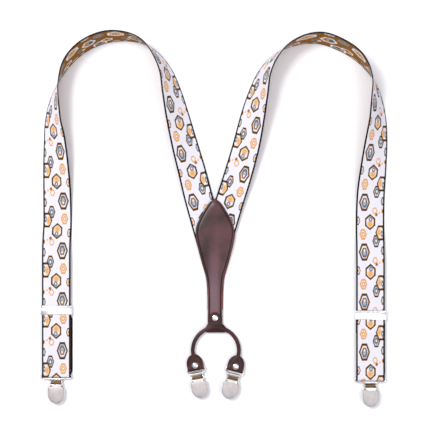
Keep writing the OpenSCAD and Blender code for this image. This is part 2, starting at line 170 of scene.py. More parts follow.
def set_the_stage():
    camera = bpy.data.cameras.new("overhead_camera")
    camera.sensor_width = 36
    camera.lens = 88.5
    holder = bpy.data.objects.new("overhead_camera", camera)
    holder.location = (0.002, 0.0072, 1.3)
    bpy.context.scene.collection.objects.link(holder)
    bpy.context.scene.camera = holder

    bm = bmesh.new()
    bmesh.ops.create_grid(bm, x_segments=2, y_segments=2, size=3)
    mesh = bpy.data.meshes.new("floor")
    bm.to_mesh(mesh)
    bm.free()
    floor = bpy.data.objects.new("floor", mesh)
    floor.location.z = cad_low.z - 0.0001
    bpy.context.scene.collection.objects.link(floor)
    paper = bpy.data.materials.new("pale_floor")
    paper.use_nodes = True
    shader = paper.node_tree.nodes["Principled BSDF"]
    shader.inputs["Base Color"].default_value = (0.97, 0.965, 0.98, 1)
    shader.inputs["Roughness"].default_value = 0.9
    shader.inputs["Specular IOR Level"].default_value = 0.1
    mesh.materials.append(paper)

    world = bpy.data.worlds.new("studio")
    bpy.context.scene.world = world
    world.use_nodes = True
    world.node_tree.nodes["Background"].inputs["Color"].default_value = (0.92, 0.90, 1.0, 1)
    world.node_tree.nodes["Background"].inputs["Strength"].default_value = 0.45

    # Each light: name, place, size and power
    lights = [("key_softbox", (-0.75, 0.55, 1.5), 0.5, 17.0),
              ("fill_softbox", (0.9, -0.5, 1.2), 1.0, 5.5),
              ("overhead_softbox", (0, 0, 2.2), 2.4, 14.0)]
    for name, place, size, power in lights:
        lamp = bpy.data.lights.new(name, "AREA")
        lamp.size = size
        lamp.energy = power
        lamp_object = bpy.data.objects.new(name, lamp)
        lamp_object.location = place
        aim = Vector((0, 0, 0)) - Vector(place)
        lamp_object.rotation_euler = aim.to_track_quat("-Z", "Y").to_euler()
        bpy.context.scene.collection.objects.link(lamp_object)
    bpy.context.scene.view_settings.view_transform = "Standard"


# ---------------------------------------------------------------- mesh helpers

def loft(point, rows, columns, uv=None):
    """A grid whose corners stand at point(column share, row share), welded where they meet."""
    bm = bmesh.new()
    bmesh.ops.create_grid(bm, x_segments=columns, y_segments=rows, size=0.5)
    layer = bm.loops.layers.uv.new("cloth")
    for face in bm.faces:
        for loop in face.loops:
            share = loop.vert.co
            loop[layer].uv = uv(share.x + 0.5, share.y + 0.5) if uv else (share.x, share.y)
    for vert in bm.verts:
        vert.co = point(min(1, max(0, vert.co.x + 0.5)), min(1, max(0, vert.co.y + 0.5)))
    bmesh.ops.remove_doubles(bm, verts=bm.verts, dist=1e-6)
    return bm


def prism(corners, along):
    """A flat outline pushed along a vector."""
    bm = bmesh.new()
    face = bm.faces.new([bm.verts.new(corner) for corner in corners])
    made = bmesh.ops.extrude_face_region(bm, geom=[face])
    pushed = [item for item in made["geom"] if isinstance(item, bmesh.types.BMVert)]
    bmesh.ops.translate(bm, verts=pushed, vec=along)
    bmesh.ops.recalc_face_normals(bm, faces=bm.faces)
    return bm


def across(outline, half):
    """An outline of distances towards the tip and heights, made solid across x from -half to half."""
    return prism([(-half, -u, z) for u, z in outline], (2 * half, 0, 0))


def spun(profile, steps=40):
    """A profile of radii and heights turned round the z axis."""
    bm = bmesh.new()
    verts = [bm.verts.new((r, 0, z)) for r, z in profile]
    edges = [bm.edges.new(pair) for pair in zip(verts, verts[1:])]
    bmesh.ops.spin(bm, geom=verts + edges, cent=(0, 0, 0), axis=(0, 0, 1), angle=math.tau, steps=steps,
                   use_merge=True)
    bmesh.ops.remove_doubles(bm, verts=bm.verts, dist=1e-6)
    bmesh.ops.recalc_face_normals(bm, faces=bm.faces)
    return bm


def soften(bm, width, segments=2):
    """Rounds every edge that turns by more than 35 degrees."""
    limit = math.radians(35)
    edges = [e for e in bm.edges if len(e.link_faces) == 2 and e.calc_face_angle() > limit]
    bmesh.ops.bevel(bm, geom=edges, offset=width, offset_type="OFFSET", affect="EDGES",
                    segments=segments, profile=0.5, material=-1, clamp_overlap=True)
    return bm


def plate_pair(outline, half, width, x):
    """Two softened plates of one outline, as far to either side."""
    made = []
    for sign in (-1, 1):
        plate = soften(across(outline, half), width)
        made.append(placed(plate, Matrix.Translation((sign * x, 0, 0))))
    return made


def joined(*parts):
    whole = bmesh.new()
    for part in parts:
        mesh = bpy.data.meshes.new("part")
        part.to_mesh(mesh)
        part.free()
        whole.from_mesh(mesh)
        bpy.data.meshes.remove(mesh)
    return whole


def placed(bm, matrix):
    bmesh.ops.transform(bm, matrix=matrix, verts=bm.verts)
    return bm


def close_ends(bm):
    bmesh.ops.holes_fill(bm, edges=[e for e in bm.edges if len(e.link_faces) == 1], sides=0)
    bmesh.ops.recalc_face_normals(bm, faces=bm.faces)
    return bm


def build(name, bm, materials, body=None, stands_for=(), smooth_below=40):
    """Makes the piece's object, shades it, and gives it its body and finish."""
    mesh = bpy.data.meshes.new(name)
    bm.to_mesh(mesh)
    bm.free()
    obj = bpy.data.objects.new(name, mesh)
    bpy.context.scene.collection.objects.link(obj)
    for material in materials:
        mesh.materials.append(material)
    shade(mesh, smooth_below)
    if body:
        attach(obj, body)
    if stands_for:
        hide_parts(*stands_for)
    return obj


def shade(mesh, smooth_below=40):
    mesh.polygons.foreach_set("use_smooth", [True] * len(mesh.polygons))
    mesh.set_sharp_from_angle(angle=math.radians(smooth_below))


def thicken(obj, thickness, edge_round, back=0, rim=0):
    """Gives a sheet its thickness and rounded edges, and keeps the result as its mesh."""
    solid = obj.modifiers.new("thickness", "SOLIDIFY")
    solid.thickness = thickness
    solid.offset = 0
    solid.use_even_offset = True
    solid.material_offset = back
    solid.material_offset_rim = rim
    bevel = obj.modifiers.new("edges", "BEVEL")
    bevel.width = edge_round
    bevel.segments = 2
    bevel.limit_method = "ANGLE"
    bevel.angle_limit = math.radians(50)
    bpy.context.view_layer.update()
    evaluated = obj.evaluated_get(bpy.context.evaluated_depsgraph_get())
    mesh = bpy.data.meshes.new_from_object(evaluated)
    obj.modifiers.clear()
    obj.data = mesh
    shade(mesh)


def curve_point(a, b, c, d, t):
    """One number of the smooth curve through b and c."""
    return 0.5 * (2 * b + (c - a) * t + (2 * a - 5 * b + 4 * c - d) * t * t
                  + (3 * b - a - 3 * c + d) * t * t * t)


def smooth(points, steps):
    """The smooth curve through given points of any number of values."""
    first = [2 * p - q for p, q in zip(points[0], points[1])]
    last = [2 * p - q for p, q in zip(points[-1], points[-2])]
    run = [first] + [list(p) for p in points] + [last]
    made = []
    for i in range(1, len(points)):
        for k in range(steps):
            made.append([curve_point(*values, k / steps) for values in zip(*run[i - 1:i + 3])])
    return made + [list(points[-1])]


def ease(low, high, value):
    share = min(1, max(0, (value - low) / (high - low)))
    return share * share * (3 - 2 * share)


def dip(distance, width):
    return math.exp(-(distance / width) ** 2)


# ---------------------------------------------------------------- shader helpers

def tint(code):
    """A colour from its usual six-digit code."""
    values = [int(code[i:i + 2], 16) / 255 for i in (0, 2, 4)]
    return [v / 12.92 if v <= 0.04045 else ((v + 0.055) / 1.055) ** 2.4 for v in values] + [1]


def feed(tree, socket, value):
    if isinstance(value, bpy.types.NodeSocket):
        tree.links.new(value, socket)
    else:
        socket.default_value = value


def node(tree, kind, inputs=None, **settings):
    made = tree.nodes.new(kind)
    for key, value in settings.items():
        setattr(made, key, value)
    for key, value in (inputs or {}).items():
        feed(tree, made.inputs[key], value)
    return made


def calc(tree, operation, *values):
    made = tree.nodes.new("ShaderNodeMath")
    made.operation = operation
    for socket, value in zip(made.inputs, values):
        feed(tree, socket, value)
    return made.outputs[0]


def mix(tree, factor, a, b, blend="MIX"):
    made = tree.nodes.new("ShaderNodeMix")
    made.data_type = "RGBA"
    made.blend_type = blend
    for index, value in ((0, factor), (6, a), (7, b)):
        feed(tree, made.inputs[index], value)
    return made.outputs[2]


def ramp(tree, factor, stops, interpolation="LINEAR"):
    """A colour ramp; each stop is a position and a colour of four numbers."""
    made = tree.nodes.new("ShaderNodeValToRGB")
    made.color_ramp.interpolation = interpolation
    elements = made.color_ramp.elements
    while len(elements) < len(stops):
        elements.new(0.5)
    for index, (position, colour) in enumerate(stops):
        elements[index].position = position
        elements[index].color = colour
    feed(tree, made.inputs[0], factor)
    return made


def new_group(name, inputs, outputs):
    tree = bpy.data.node_groups.new(name, "ShaderNodeTree")
    for label, kind, value in inputs:
        socket = tree.interface.new_socket(name=label, in_out="INPUT", socket_type=kind)
        if value is not None:
            socket.default_value = value
    for label, kind in outputs:
        tree.interface.new_socket(name=label, in_out="OUTPUT", socket_type=kind)
    start = tree.nodes.new("NodeGroupInput").outputs
    end = tree.nodes.new("NodeGroupOutput").inputs
    return tree, start, end


def use_group(tree, group, inputs):
    made = tree.nodes.new("ShaderNodeGroup")
    made.node_tree = group
    for key, value in inputs.items():
        feed(tree, made.inputs[key], value)
    return made.outputs


FLOAT = "NodeSocketFloat"
VECTOR = "NodeSocketVector"


def woven_steps_group():
    """Cloth places in millimetres, stepped to the threads, so that figures have stair edges."""
    tree, start, end = new_group("woven_steps", [("Cloth", VECTOR, None)],
                                 [("Stepped", VECTOR), ("Across", FLOAT), ("Along", FLOAT)])
    apart = node(tree, "ShaderNodeSeparateXYZ", {0: start["Cloth"]}).outputs
    x = calc(tree, "SNAP", apart[0], 0.3)
    y = calc(tree, "SNAP", apart[1], 0.4)
    feed(tree, end["Stepped"], node(tree, "ShaderNodeCombineXYZ", {0: x, 1: y}).outputs[0])
    feed(tree, end["Across"], apart[0])
    feed(tree, end["Along"], apart[1])
    return tree


def hexagon_group():
    """How far a place is from a repeated hexagon's middle: 0 there, 1 on its outline."""
    tree, start, end = new_group(
        "hexagon_figure",
        [("Cloth", VECTOR, None), ("Across", FLOAT, 0), ("Along", FLOAT, 0),
         ("Half Width", FLOAT, 5), ("Half Length", FLOAT, 8), ("Pointed", FLOAT, 0)],
        [("Distance", FLOAT)])
    apart = node(tree, "ShaderNodeSeparateXYZ", {0: start["Cloth"]}).outputs
    half_repeat = repeat * 1000 / 2
    x = calc(tree, "ABSOLUTE", calc(tree, "SUBTRACT", apart[0], start["Across"]))
    y = calc(tree, "WRAP", calc(tree, "SUBTRACT", apart[1], start["Along"]), half_repeat, -half_repeat)
    x = calc(tree, "DIVIDE", x, start["Half Width"])
    y = calc(tree, "DIVIDE", calc(tree, "ABSOLUTE", y), start["Half Length"])
    gap = calc(tree, "MULTIPLY", calc(tree, "SUBTRACT", x, y), start["Pointed"])
    main = calc(tree, "ADD", y, gap)
    other = calc(tree, "SUBTRACT", x, gap)
    slanted = calc(tree, "MULTIPLY_ADD", main, 0.55, other)
    feed(tree, end["Distance"], calc(tree, "MAXIMUM", main, slanted))
    return tree


def threads_group():
    """Fine twill of the webbing: height of the threads and the shade between them."""
    tree, start, end = new_group(
        "twill_threads", [("Cloth", VECTOR, None), ("Thread", FLOAT, 0.6)],
        [("Height", FLOAT), ("Shade", FLOAT)])
    apart = node(tree, "ShaderNodeSeparateXYZ", {0: start["Cloth"]}).outputs
    turn = calc(tree, "DIVIDE", math.tau, start["Thread"])
    slope = calc(tree, "MULTIPLY_ADD", apart[0], 0.55, apart[1])
    ribs = calc(tree, "SINE", calc(tree, "MULTIPLY", slope, turn))
    picks = calc(tree, "SINE", calc(tree, "MULTIPLY", apart[0], calc(tree, "MULTIPLY", turn, 1.3)))
    both = calc(tree, "MULTIPLY_ADD", picks, 0.45, ribs)
    uneven = node(tree, "ShaderNodeTexNoise", {"Vector": start["Cloth"], "Scale": 0.9, "Detail": 3.0})
    feed(tree, end["Height"], calc(tree, "MULTIPLY_ADD", uneven.outputs[0], 0.8, both))
    shade_value = calc(tree, "MULTIPLY_ADD", both, 0.035, 0.955)
    feed(tree, end["Shade"], calc(tree, "MULTIPLY_ADD", uneven.outputs[0], 0.05, shade_value))
    return tree


def grain_group():
    """Leather grain: pebbles, pores and slow colour drift."""
    tree, start, end = new_group(
        "leather_grain", [("Vector", VECTOR, None), ("Scale", FLOAT, 1.0)],
        [("Height", FLOAT), ("Drift", FLOAT), ("Pores", FLOAT)])
    fine = node(tree, "ShaderNodeVectorMath", {0: start["Vector"]}, operation="SCALE")
    feed(tree, fine.inputs["Scale"], start["Scale"])
    cells = node(tree, "ShaderNodeTexVoronoi", {"Vector": fine.outputs[0], "Scale": 1500.0},
                 feature="DISTANCE_TO_EDGE")
    creases = node(tree, "ShaderNodeTexNoise", {"Vector": fine.outputs[0], "Scale": 420.0, "Detail": 5.0})
    pebble = calc(tree, "MINIMUM", cells.outputs["Distance"], 0.18)
    feed(tree, end["Height"], calc(tree, "MULTIPLY_ADD", creases.outputs[0], 0.6, pebble))
    slow = node(tree, "ShaderNodeTexNoise", {"Vector": fine.outputs[0], "Scale": 38.0, "Detail": 3.0})
    feed(tree, end["Drift"], slow.outputs[0])
    feed(tree, end["Pores"], calc(tree, "LESS_THAN", cells.outputs["Distance"], 0.03))
    return tree


def marks_group():
    """Handling marks on metal: fine scratches one way, soft smudges."""
    tree, start, end = new_group(
        "handling_marks",
        [("Vector", VECTOR, None), ("Stretch", VECTOR, (1, 1, 1)), ("Strength", FLOAT, 1.0)],
        [("Height", FLOAT), ("Roughness", FLOAT), ("Smudge", FLOAT)])
    pulled = node(tree, "ShaderNodeVectorMath", {0: start["Vector"], 1: start["Stretch"]},
                  operation="MULTIPLY")
    lines = node(tree, "ShaderNodeTexNoise", {"Vector": pulled.outputs[0], "Scale": 900.0, "Detail": 4.0})
    smudge = node(tree, "ShaderNodeTexNoise", {"Vector": start["Vector"], "Scale": 160.0, "Detail": 4.0})
    feed(tree, end["Height"], lines.outputs[0])
    feed(tree, end["Smudge"], smudge.outputs[0])
    both = calc(tree, "ADD", lines.outputs[0], smudge.outputs[0])
    feed(tree, end["Roughness"], calc(tree, "MULTIPLY", both, start["Strength"]))
    return tree


woven_steps = woven_steps_group()
hexagon_figure = hexagon_group()
twill_threads = threads_group()
leather_grain = grain_group()
handling_marks = marks_group()


def new_material(name, **sockets):
    made = bpy.data.materials.new(name)
    made.use_nodes = True
    tree = made.node_tree
    shader = tree.nodes["Principled BSDF"]
    for key, value in sockets.items():
        shader.inputs[key.replace("_", " ")].default_value = value
    return made, tree, shader


def bump(tree, shader, height, distance, strength=1.0):
    made = node(tree, "ShaderNodeBump", {"Height": height, "Distance": distance, "Strength": strength})
    feed(tree, shader.inputs["Normal"], made.outputs[0])


def colour_by(tree, shader, factor, stops):
    feed(tree, shader.inputs["Base Color"], ramp(tree, factor, stops).outputs[0])


def object_place(tree):
    return node(tree, "ShaderNodeTexCoord").outputs["Object"]


def cloth_place(tree):
    """Places on the cloth itself, in millimetres."""
    uv = node(tree, "ShaderNodeUVMap", uv_map="cloth").outputs[0]
    return node(tree, "ShaderNodeVectorMath", {0: uv, "Scale": 1000.0}, operation="SCALE").outputs[0]


# ---------------------------------------------------------------- webbing

# Figures of the jacquard, in millimetres: from the outer edge, along the repeat, half width,
# half length, pointed or flat top, and the name of their ring colours
figures = [
    (24.8, 0.0, 6.9, 10.6, 0, "frame"), (24.7, -0.6, 3.9, 5.9, 0, "blue"),
    (24.6, 1.8, 1.8, 2.8, 0, "seed"),
    (26.0, 21.9, 4.7, 6.7, 0, "peach_ring"), (26.0, 21.9, 2.5, 3.2, 0, "peach_dot"),
    (17.4, 37.0, 6.3, 10.1, 1, "brown_frame"), (17.4, 34.4, 3.7, 5.0, 1, "peach"),
    (16.8, 40.4, 2.7, 3.6, 0, "slate_dot"),
    (11.7, 51.0, 3.4, 3.9, 0, "peach_ring"), (9.8, 46.2, 1.9, 2.6, 1, "brown_dot"),
    (6.0, 48.4, 1.1, 1.3, 0, "peach_dot"),
    (10.2, 13.4, 4.6, 7.6, 0, "brown_frame"), (10.2, 13.8, 3.0, 5.4, 1, "slate_dot"),
    (4.6, 23.6, 6.5, 9.4, 0, "brown_frame"), (6.4, 24.2, 2.9, 5.2, 0, "peach"),
    (2.8, 22.4, 1.7, 4.4, 0, "slate_dot"),
    (2.2, 1.8, 2.4, 5.2, 0, "slate_ring"), (2.0, 50.6, 1.6, 2.9, 0, "brown_dot"),
    (32.6, 38.6, 3.2, 5.2, 0, "brown_frame"), (33.6, 38.6, 2.2, 3.6, 0, "brown_dot")]

white = tint("ECEAF1")
# Rings of each figure: from what share of the way out, and colour; outside them the ground shows
face_rings = {
    "frame": [(0, "ECEAF1"), (0.68, "9A6212"), (0.82, "463610")],
    "brown_frame": [(0, "ECEAF1"), (0.68, "9C6218"), (0.80, "463414")],
    "blue": [(0, "B5BEC8"), (0.45, "71889A"), (0.78, "44596B")],
    "seed": [(0, "F7EDE0"), (0.55, "C98E45")],
    "peach_ring": [(0, "ECEAF1"), (0.62, "E5A765")],
    "peach_dot": [(0, "ECEAF1"), (0.4, "E3A868")],
    "peach": [(0, "E8AC6A"), (0.55, "F0C596")],
    "brown_dot": [(0, "6B4A22"), (0.5, "D9964A")],
    "slate_dot": [(0, "E9E4E2"), (0.35, "66727E"), (0.75, "A9AEB6")],
    "slate_ring": [(0, "C9C6C8"), (0.55, "7D7F86"), (0.8, "6E4E2A")]}
gold = tint("8F5A0E")
reverse_rings = {
    "frame": [(0, "D9B48A"), (0.74, "F1ECE4")],
    "brown_frame": [(0, "8A8670"), (0.72, "F1ECE4")],
    "blue": [(0, "E5B078"), (0.5, "C98A4A"), (0.8, "EBD9C0")],
    "seed": [(0, "F1ECE4"), (0.5, "2B211A")],
    "peach_ring": [(0, "6F6A58"), (0.66, "8C9494")],
    "peach_dot": [(0, "5A5442"), (0.45, "98A0A0")],
    "peach": [(0, "47525A"), (0.6, "8E9AA0")],
    "brown_dot": [(0, "E9DFD0")],
    "slate_dot": [(0, "4A3420"), (0.4, "D99A58")],
    "slate_ring": [(0, "D2A678"), (0.6, "E8E0D2")]}


def webbing_material(name, ground, rings_of, shine):
    made, tree, shader = new_material(name, Roughness=0.85, Specular_IOR_Level=0.15, Sheen_Weight=shine,
                                      Sheen_Roughness=0.5)
    cloth = cloth_place(tree)
    steps = use_group(tree, woven_steps, {"Cloth": cloth})
    colour = ground
    for across_mm, along_mm, half_w, half_l, pointed, rings_name in figures:
        reach = use_group(tree, hexagon_figure, {
            "Cloth": steps["Stepped"], "Across": across_mm, "Along": along_mm, "Half Width": half_w,
            "Half Length": half_l, "Pointed": float(pointed)})["Distance"]
        stops = [(at * 0.5, tint(code)) for at, code in rings_of[rings_name]]
        stops.append((0.5, white[:3] + [0]))
        rings_node = ramp(tree, calc(tree, "MULTIPLY", reach, 0.5), stops, "CONSTANT")
        colour = mix(tree, rings_node.outputs[1], colour, rings_node.outputs[0])
    threads = use_group(tree, twill_threads, {"Cloth": cloth, "Thread": 0.62})
    shaded = mix(tree, 1.0, colour, threads["Shade"], "MULTIPLY")
    from_inner = calc(tree, "SUBTRACT", web_w * 1000, steps["Across"])
    to_edge = calc(tree, "MINIMUM", steps["Across"], from_inner)
    border = calc(tree, "LESS_THAN", to_edge, selvedge_w * 1000)
    feed(tree, shader.inputs["Base Color"], mix(tree, border, shaded, tint("0B0914")))
    bump(tree, shader, threads["Height"], 0.00006, 0.8)
    return made


def selvedge_material():
    made, tree, shader = new_material("dark_selvedge", Roughness=0.85, Specular_IOR_Level=0.15)
    cloth = cloth_place(tree)
    threads = use_group(tree, twill_threads, {"Cloth": cloth, "Thread": 0.5})
    feed(tree, shader.inputs["Base Color"],
         mix(tree, threads["Shade"], tint("08080C"), tint("1B1A24")))
    bump(tree, shader, threads["Height"], 0.00008)
    return made


def strap_stations(i):
    """The web from the patch to the hem: its outer edge and its direction across, place by place."""
    hand = hands[i]
    half_t = web_t / 2
    bar = pivot("front_%s_clip_swing" % sides[i])
    curve = smooth(routes[i], 10)
    rows = []
    for k, (x, y, tilt, lift) in enumerate(curve):
        back, ahead = curve[max(k - 1, 0)], curve[min(k + 1, len(curve) - 1)]
        heading = Vector((ahead[0] - back[0], ahead[1] - back[1], 0)).normalized()
        level = Vector((heading.y, -heading.x, 0)) * hand
        angle = math.radians(tilt)
        width_way = Vector((level.x * math.cos(angle), level.y * math.cos(angle), math.sin(angle)))
        rows.append((Vector((x, y, lift + half_t * abs(math.cos(angle)))), width_way))
    side = Vector((-hand, 0, 0))
    x = hand * arm_x
    top_z = bar.z + fold_r
    for k in range(1, 41):
        rows.append((Vector((x, run_top + (bar.y - run_top) * k / 40, top_z)), side))
    for k in range(1, 17):
        turn = math.pi * k / 16
        rows.append((Vector((x, bar.y - fold_r * math.sin(turn), bar.z + fold_r * math.cos(turn))), side))
    fold_end = len(rows) - 1
    hem_y = pivot(sides[i] + "_adjuster_cover_hinge").y - lid_hinge_y + end_bar_y
    hem_z = web_t + hem_in
    hem_r = hem_in + half_t
    low_z = bar.z - fold_r
    for k in range(1, tail_rows + 1):
        y = bar.y + (hem_y - bar.y) * k / tail_rows
        aside = tail_shift[i] * ease(bar.y, bar.y + 0.006, y) * (1 - ease(hem_y - 0.009, hem_y - 0.003, y))
        rows.append((Vector((x + aside, y, low_z)), side))
    for k in range(1, 13):
        turn = math.pi * k / 12
        rows.append((Vector((x, hem_y + hem_r * math.sin(turn), hem_z - hem_r * math.cos(turn))), side))
    for k in range(1, 13):
        back_by = hem_len * k / 12
        drop = (hem_z + hem_r - web_t * 1.5 - 0.0001) * ease(0.003, 0.010, back_by)
        rows.append((Vector((x, hem_y - back_by, hem_z + hem_r - drop)), side))
    return rows, fold_end, len(curve) - 1


def web_piece(i, name, rows, travelled, materials):
    """One length of webbing over the given stations."""
    flipped = hands[i] < 0
    sign = 1 if flipped else -1

    def point(share_across, share_along):
        edge, width_way = rows[round(share_along * (len(rows) - 1))]
        return edge + width_way * web_w * share_across

    def uv(share_across, share_along):
        far = travelled[round(share_along * (len(rows) - 1))]
        creep = figure_creep[i] * (1 - ease(-0.42, -0.25, far))
        return web_w * share_across, sign * (far - creep - first_motif[i])

    bm = loft(point, len(rows) - 1, 10, uv)
    if flipped:
        bmesh.ops.reverse_faces(bm, faces=bm.faces)
    obj = build(name, bm, materials)
    thicken(obj, web_t, web_t * 0.38, back=1, rim=2)
    return obj


def make_straps(thread):
    face = webbing_material("jacquard_face", white, face_rings, 0.06)
    reverse = webbing_material("jacquard_reverse", gold, reverse_rings, 0.05)
    materials = [face, reverse, selvedge_material()]
    for i, side in enumerate(sides):
        rows, fold_end, run_start = strap_stations(i)
        middles = [edge + way * web_w / 2 for edge, way in rows]
        travelled = [0]
        for a, b in zip(middles, middles[1:]):
            travelled.append(travelled[-1] + (b - a).length)
        travelled = [t - travelled[run_start] for t in travelled]
        front = web_piece(i, side + "_webbing", rows[:fold_end + 1], travelled[:fold_end + 1], materials)
        tail = web_piece(i, side + "_webbing_tail", rows[fold_end:], travelled[fold_end:], materials)
        hem_y = rows[fold_end + tail_rows][0].y
        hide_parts(side + "_strap")
        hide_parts(side + "_strap_loop")
        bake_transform(front)
        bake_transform(tail)
        seams = []
        for back_by in (0.0145, 0.0165):
            run = [Vector((hands[i] * (arm_x - web_w * k / 40), hem_y - back_by, 0.0001))
                   for k in range(3, 38)]
            seams.append(stitch_run(run, 0.0026, 0.0021, 0.00022))
        build(side + "_hem_stitching", joined(*seams), [thread], side + "_adjuster")


# ---------------------------------------------------------------- leather

def leather_material(name, dark, light, roughness, coat, grain_scale=1.0, painted_highlight=None):
    made, tree, shader = new_material(name, Roughness=roughness, Coat_Roughness=0.3, Specular_IOR_Level=0.3)
    shader.inputs["Coat Weight"].default_value = coat
    where = object_place(tree)
    grain = use_group(tree, leather_grain, {"Vector": where, "Scale": grain_scale})
    pull = ramp(tree, grain["Drift"], [(0.36, dark), (0.66, light)]).outputs[0]
    # Optionally lightens the stem's middle towards a lighter colour: a painted highlight.
    if painted_highlight:
        pull = mix(tree, painted_highlight_mask(tree, where), pull, painted_highlight)
    pores = calc(tree, "MULTIPLY", grain["Pores"], 0.35)
    feed(tree, shader.inputs["Base Color"], mix(tree, pores, pull, tint("1A0D0C")))
    uneven = calc(tree, "MULTIPLY_ADD", grain["Drift"], 0.22, roughness - 0.1)
    feed(tree, shader.inputs["Roughness"], uneven)
    bump(tree, shader, grain["Height"], 0.00009, 0.55)
    return made


def painted_highlight_mask(tree, where):
    """A mask of the stem's middle, where a painted highlight lightens the leather's colour."""
    apart = node(tree, "ShaderNodeSeparateXYZ", {0: where}).outputs
    aside = calc(tree, "ABSOLUTE", calc(tree, "SUBTRACT", apart[0], patch_x - 0.001))
    middle = node(tree, "ShaderNodeMapRange", {0: aside, 1: 0.0085, 2: 0.003, 3: 0.0, 4: 1.0}).outputs[0]
    down = node(tree, "ShaderNodeMapRange", {0: apart[1], 1: -0.02, 2: -0.085, 3: 0.0, 4: 0.85}).outputs[0]
    return calc(tree, "MULTIPLY", middle, down)


def grained_material(name, roughness, scale, low, high, height):
    made, tree, shader = new_material(name, Roughness=roughness)
    grain = use_group(tree, leather_grain, {"Vector": object_place(tree), "Scale": scale})
    colour_by(tree, shader, grain["Drift"], [(0.3, tint(low)), (0.7, tint(high))])
    bump(tree, shader, grain["Height"], height)
    return made


def thread_material():
    made, tree, shader = new_material("waxed_thread", Roughness=0.55)
    where = object_place(tree)
    twist = node(tree, "ShaderNodeTexWave", {"Vector": where, "Scale": 900.0, "Distortion": 1.5},
                 wave_type="BANDS", bands_direction="DIAGONAL")
    # Colour follows the twist's bands, darker in the low grooves: painted shade between the plies.
    colour_by(tree, shader, twist.outputs[1], [(0.2, tint("120807")), (0.8, tint("2A1512"))])
    bump(tree, shader, twist.outputs[1], 0.0001)
    return made


def mark_edges(bm, steeper_than=0.45):
    """Gives the upright faces of a leather panel its edge material."""
    bm.normal_update()
    for face in bm.faces:
        if abs(face.normal.z) < steeper_than:
            face.material_index = 1


def patch_body(margin, shift, end_y, top_at, bottom_at, groove):
    """A leather panel of the patch's outline: domed top, seam groove, upright edge, flat underside."""
    stations = smooth(patch_half, 5)
    stations = [row for row in stations if row[1] >= end_y] + [[0.009, end_y]]
    offsets = [0, 0.00012, 0.0004, 0.0008, 0.0014, 0.0018, 0.0021, 0.0024, 0.0027, 0.003, 0.0036,
               0.005, 0.0065]
    inner = [0.75, 0.5, 0.25]
    top_count = 2 * (len(offsets) + len(inner)) + 1
    under = 6
    columns = top_count - 1 + under

    def across_at(k, column):
        half = stations[k][0]
        ahead, behind = stations[max(k - 1, 0)], stations[min(k + 1, len(stations) - 1)]
        slope = abs(ahead[0] - behind[0]) / max(1e-6, abs(ahead[1] - behind[1]))
        stretch = min(2.2, math.sqrt(1 + slope * slope))
        half = half + margin * min(1, half / 0.004)
        if column >= top_count:
            share = 1 - 2 * (column - top_count + 1) / under
            return half * share, None
        place = min(column, top_count - 1 - column)
        sign = 1 if column >= top_count // 2 else -1
        squeeze = min(1, half / 0.0085 / stretch)
        last = half - offsets[-1] * stretch * squeeze
        if place < len(offsets):
            return sign * (half - offsets[place] * stretch * squeeze), offsets[place] * squeeze
        if column == top_count // 2:
            return 0, offsets[-1] + last
        share = inner[place - len(offsets)]
        return sign * last * share, offsets[-1] + last * (1 - share)

    def point(share_around, share_along):
        k = round(share_along * (len(stations) - 1))
        column = round(share_around * columns) % columns
        x, inset = across_at(k, column)
        y = stations[k][1] + margin * (1 if k == 0 else 0)
        if inset is None:
            return Vector((patch_x + shift + x, y, bottom_at(y)))
        edge_round = 0.00035 * (1 - min(1, inset / 0.0006)) ** 2
        z = top_at(y, inset) - edge_round - groove * dip(inset - seam_inset, 0.0005)
        return Vector((patch_x + shift + x, y, z))

    bm = loft(point, len(stations) - 1, columns, lambda around, along: (around, along))
    close_ends(bm)
    mark_edges(bm)
    if groove:
        mark_channel(bm, columns, top_count, offsets)
    return bm


def mark_channel(bm, columns, top_count, offsets):
    """Gives the faces of the seam's channel the third material: darker leather that paints shade into the
    groove.
    """
    layer = bm.loops.layers.uv["cloth"]
    first = max(k for k, offset in enumerate(offsets) if offset < seam_inset - 0.0005)
    last = min(k for k, offset in enumerate(offsets) if offset > seam_inset + 0.0005)
    for face in bm.faces:
        column = sum(loop[layer].uv.x for loop in face.loops) / len(face.loops) * columns
        if len(face.loops) == 4 and first < min(column, top_count - 1 - column) < last:
            face.material_index = 2


def make_patch(leather, raw_edge, channel, thread):
    def front_top(y, inset):
        level = stem_top + (patch_top - 0.0004 - stem_top) * ease(-0.066, -0.026, y)
        crown = 0.0007 * ease(0, 0.009, inset) * ease(-0.12, -0.05, y)
        return level + crown - 0.0002

    def front_bottom(y):
        return leather_t + (patch_top - 2.2 * leather_t - leather_t) * ease(-0.036, -0.024, y)

    bm = patch_body(0, 0, -0.125, front_top, front_bottom, 0.0005)
    build("patch_front_panel", bm, [leather, raw_edge, channel], "root",
          ["patch_front"], 50)
    bm = patch_body(0.0006, 0.0003, -0.109, lambda y, inset: leather_t, lambda y: 0.0, 0)
    build("patch_backing", bm, [raw_edge, raw_edge], "root", ["patch_back"], 50)

    stitches = []
    stations = smooth(patch_half, 24)
    for sign in (-1, 1):
        run = []
        for k, (half, y) in enumerate(stations):
            ahead, behind = stations[max(k - 1, 0)], stations[min(k + 1, len(stations) - 1)]
            slope = (behind[0] - ahead[0]) / max(1e-6, ahead[1] - behind[1])
            normal = Vector((1, slope, 0)).normalized()
            place = Vector((half - seam_inset * normal.x, y - seam_inset * normal.y, 0))
            if place.x > 0.0004 and -0.1115 < y:
                height = front_top(place.y, seam_inset) - 0.0001
                run.append(Vector((patch_x + sign * place.x, place.y, height)))
        stitches.append(stitch_run(run, 0.0027, 0.0023, 0.00034))
    build("patch_stitching", joined(*stitches), [thread], "root")


